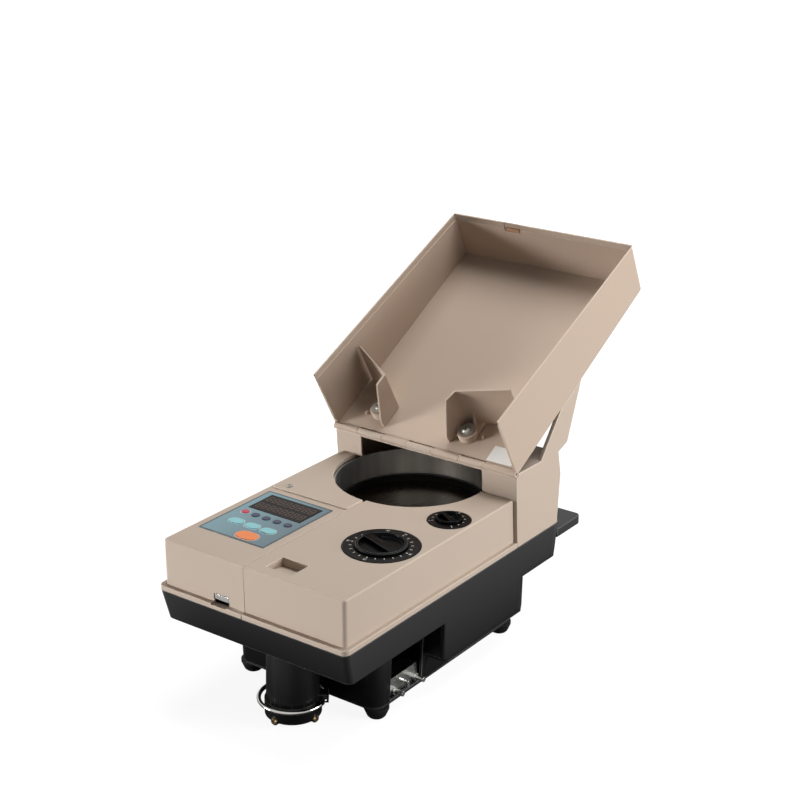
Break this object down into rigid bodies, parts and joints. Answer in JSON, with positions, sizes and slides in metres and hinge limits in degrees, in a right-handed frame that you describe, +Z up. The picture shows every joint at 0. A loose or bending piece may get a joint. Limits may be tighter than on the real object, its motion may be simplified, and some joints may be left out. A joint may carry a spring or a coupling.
{
  "type": "coin counting machine",
  "caption": "Table-top coin counting machine with a fold-over hopper tray, feed bowl, dials, key panel and bag spout.",
  "frame": {"origin": "middle of the machine's outline on the table, with the tray open; the table is z = 0", "axes": "+X to the machine's right, +Y to its rear, where the tray opens, +Z up"},
  "size_m": [0.22, 0.4993, 0.37],
  "materials": {
    "cover_beige": "satin",
    "tray_beige": "satin",
    "base_black": "satin moulded",
    "plate_black": "matt",
    "foot_rubber": "matt",
    "bowl_black": "satin",
    "ring_steel": "rolled",
    "inner_steel": "plain",
    "bright_steel": "plated",
    "catch_brass": "plated",
    "wire_chrome": "polished",
    "motor_grey": "satin",
    "pulley_black": "satin",
    "core_brown": "varnished",
    "board_green": "satin",
    "panel_blue": "film",
    "display_dark": "tinted",
    "dial_black": "satin",
    "key_red_film": "satin",
    "key_navy_film": "satin",
    "key_cyan_film": "satin",
    "key_orange_film": "satin",
    "entry_black": "satin",
    "rocker_red": "gloss"
  },
  "bodies": {
    "base": {"base_shell": "base_black", "bottom_plate": "plate_black", "rubber_feet": "foot_rubber", "deck_plate": "inner_steel", "left_cover": "cover_beige", "right_cover": "cover_beige", "bowl_plate": "cover_beige", "cover_screw": "bright_steel", "rear_housing": "cover_beige", "hinge_pin": "inner_steel", "bowl_base": "bowl_black", "hopper_ring": "ring_steel", "bearing_housing": "inner_steel", "motor": "motor_grey", "motor_bracket": "inner_steel", "drive_belt": "foot_rubber", "coin_bed": "inner_steel", "coin_belt": "foot_rubber", "belt_bracket": "inner_steel", "sensor_block": "pulley_black", "panel_overlay": "panel_blue", "display_window": "display_dark", "display_module": "pulley_black", "control_board": "board_green", "large_scale": "dial_black", "small_scale": "dial_black", "transformer": "core_brown", "coin_spout": "base_black", "spout_rivets": "catch_brass", "front_latch": "bright_steel", "side_bracket": "bright_steel", "power_entry": "entry_black"},
    "tray": {"hopper_tray": "tray_beige", "wing_screws": "bright_steel"},
    "catch": {"tray_catch": "catch_brass"},
    "wing_left": {"guide_wing_left": "tray_beige"},
    "wing_right": {"guide_wing_right": "tray_beige"},
    "feeder": {"feed_disc": "ring_steel", "disc_shaft": "inner_steel", "disc_pulley": "pulley_black"},
    "motor_drive": {"motor_pulley": "pulley_black"},
    "belt_front": {"belt_pulley_front": "pulley_black"},
    "belt_rear": {"belt_pulley_rear": "pulley_black"},
    "diameter_dial": {"diameter_knob": "dial_black", "dial_cam": "inner_steel"},
    "rail": {"guide_rail": "inner_steel"},
    "thickness_dial": {"thickness_knob": "dial_black", "click_wheel": "catch_brass"},
    "gate": {"thickness_gate": "inner_steel"},
    "button_red": {"key_red": "key_red_film"},
    "button_navy_1": {"key_navy_1": "key_navy_film"},
    "button_navy_2": {"key_navy_2": "key_navy_film"},
    "button_navy_3": {"key_navy_3": "key_navy_film"},
    "button_navy_4": {"key_navy_4": "key_navy_film"},
    "button_cyan_1": {"key_cyan_1": "key_cyan_film"},
    "button_cyan_2": {"key_cyan_2": "key_cyan_film"},
    "button_cyan_3": {"key_cyan_3": "key_cyan_film"},
    "button_orange": {"key_orange": "key_orange_film"},
    "bag_holder": {"bag_ring": "wire_chrome"},
    "power_switch": {"power_rocker": "rocker_red"}
  },
  "joints": [
    {"name": "tray_fold", "type": "hinge", "parent": "base", "child": "tray", "pos_m": [0, 0.0164, 0.1906], "axis": [1, 0, 0], "range_deg": [0, 154.9]},
    {"name": "catch_slide", "type": "slide", "parent": "tray", "child": "catch", "axis": [0, -0.4242, 0.9056], "range_m": [0, 0.002], "stiffness_N_per_m": 300, "springref_m": -0.002},
    {"name": "wing_left_turn", "type": "hinge", "parent": "tray", "child": "wing_left", "pos_m": [-0.0682, 0.04039, 0.20404], "axis": [0, -0.4886, 0.8725], "range_deg": [-102.1, 0.1]},
    {"name": "wing_right_turn", "type": "hinge", "parent": "tray", "child": "wing_right", "pos_m": [0.0388, 0.04039, 0.20404], "axis": [0, -0.4886, 0.8725], "range_deg": [-0.1, 112.1]},
    {"name": "disc_spin", "type": "hinge", "parent": "base", "child": "feeder", "pos_m": [-0.007, 0.0104, 0.12], "axis": [0, 0, 1], "continuous": true},
    {"name": "motor_spin", "type": "hinge", "parent": "base", "child": "motor_drive", "pos_m": [0.048, -0.0456, 0.098], "axis": [0, 0, 1], "continuous": true},
    {"name": "belt_rear_spin", "type": "hinge", "parent": "base", "child": "belt_rear", "pos_m": [0.004, -0.0936, 0.1345], "axis": [1, 0, 0], "continuous": true},
    {"name": "belt_front_spin", "type": "hinge", "parent": "base", "child": "belt_front", "pos_m": [0.004, -0.1786, 0.1345], "axis": [1, 0, 0], "continuous": true},
    {"name": "diameter_turn", "type": "hinge", "parent": "base", "child": "diameter_dial", "pos_m": [0.0642, -0.1379, 0.15], "axis": [0, 0, 1], "range_deg": [-135, 135]},
    {"name": "rail_slide", "type": "slide", "parent": "base", "child": "rail", "axis": [1, 0, 0], "range_m": [-0.01001, 0.01001]},
    {"name": "thickness_turn", "type": "hinge", "parent": "base", "child": "thickness_dial", "pos_m": [0.0815, -0.0551, 0.15], "axis": [0, 0, 1], "range_deg": [-150, 150]},
    {"name": "gate_slide", "type": "slide", "parent": "base", "child": "gate", "axis": [0, 0, 1], "range_m": [-0.00151, 0.00151]},
    {"name": "press_red", "type": "slide", "parent": "base", "child": "button_red", "axis": [0, 0, -1], "range_m": [0, 0.0004], "stiffness_N_per_m": 600, "springref_m": -0.0005},
    {"name": "press_navy_1", "type": "slide", "parent": "base", "child": "button_navy_1", "axis": [0, 0, -1], "range_m": [0, 0.0004], "stiffness_N_per_m": 600, "springref_m": -0.0005},
    {"name": "press_navy_2", "type": "slide", "parent": "base", "child": "button_navy_2", "axis": [0, 0, -1], "range_m": [0, 0.0004], "stiffness_N_per_m": 600, "springref_m": -0.0005},
    {"name": "press_navy_3", "type": "slide", "parent": "base", "child": "button_navy_3", "axis": [0, 0, -1], "range_m": [0, 0.0004], "stiffness_N_per_m": 600, "springref_m": -0.0005},
    {"name": "press_navy_4", "type": "slide", "parent": "base", "child": "button_navy_4", "axis": [0, 0, -1], "range_m": [0, 0.0004], "stiffness_N_per_m": 600, "springref_m": -0.0005},
    {"name": "press_cyan_1", "type": "slide", "parent": "base", "child": "button_cyan_1", "axis": [0, 0, -1], "range_m": [0, 0.0004], "stiffness_N_per_m": 600, "springref_m": -0.0005},
    {"name": "press_cyan_2", "type": "slide", "parent": "base", "child": "button_cyan_2", "axis": [0, 0, -1], "range_m": [0, 0.0004], "stiffness_N_per_m": 600, "springref_m": -0.0005},
    {"name": "press_cyan_3", "type": "slide", "parent": "base", "child": "button_cyan_3", "axis": [0, 0, -1], "range_m": [0, 0.0004], "stiffness_N_per_m": 600, "springref_m": -0.0005},
    {"name": "press_orange", "type": "slide", "parent": "base", "child": "button_orange", "axis": [0, 0, -1], "range_m": [0, 0.0004], "stiffness_N_per_m": 600, "springref_m": -0.0005},
    {"name": "ring_lift", "type": "hinge", "parent": "base", "child": "bag_holder", "pos_m": [0.03856, -0.19093, 0.0225], "axis": [-0.6, 0.8, 0], "range_deg": [0, 12]},
    {"name": "power_rock", "type": "hinge", "parent": "base", "child": "power_switch", "pos_m": [0, 0.0544, 0.0435], "axis": [1, 0, 0], "range_deg": [-8, 8]}
  ],
  "couplings": [
    {"joint": "wing_left_turn", "follows": "tray_fold", "ratio": -0.65849},
    {"joint": "wing_right_turn", "follows": "tray_fold", "ratio": 0.72305},
    {"joint": "motor_spin", "follows": "disc_spin", "ratio": 3},
    {"joint": "belt_front_spin", "follows": "belt_rear_spin", "ratio": 1},
    {"joint": "rail_slide", "follows": "diameter_turn", "m_per_rad": 0.0042441},
    {"joint": "gate_slide", "follows": "thickness_turn", "m_per_rad": 0.00057296}
  ]
}
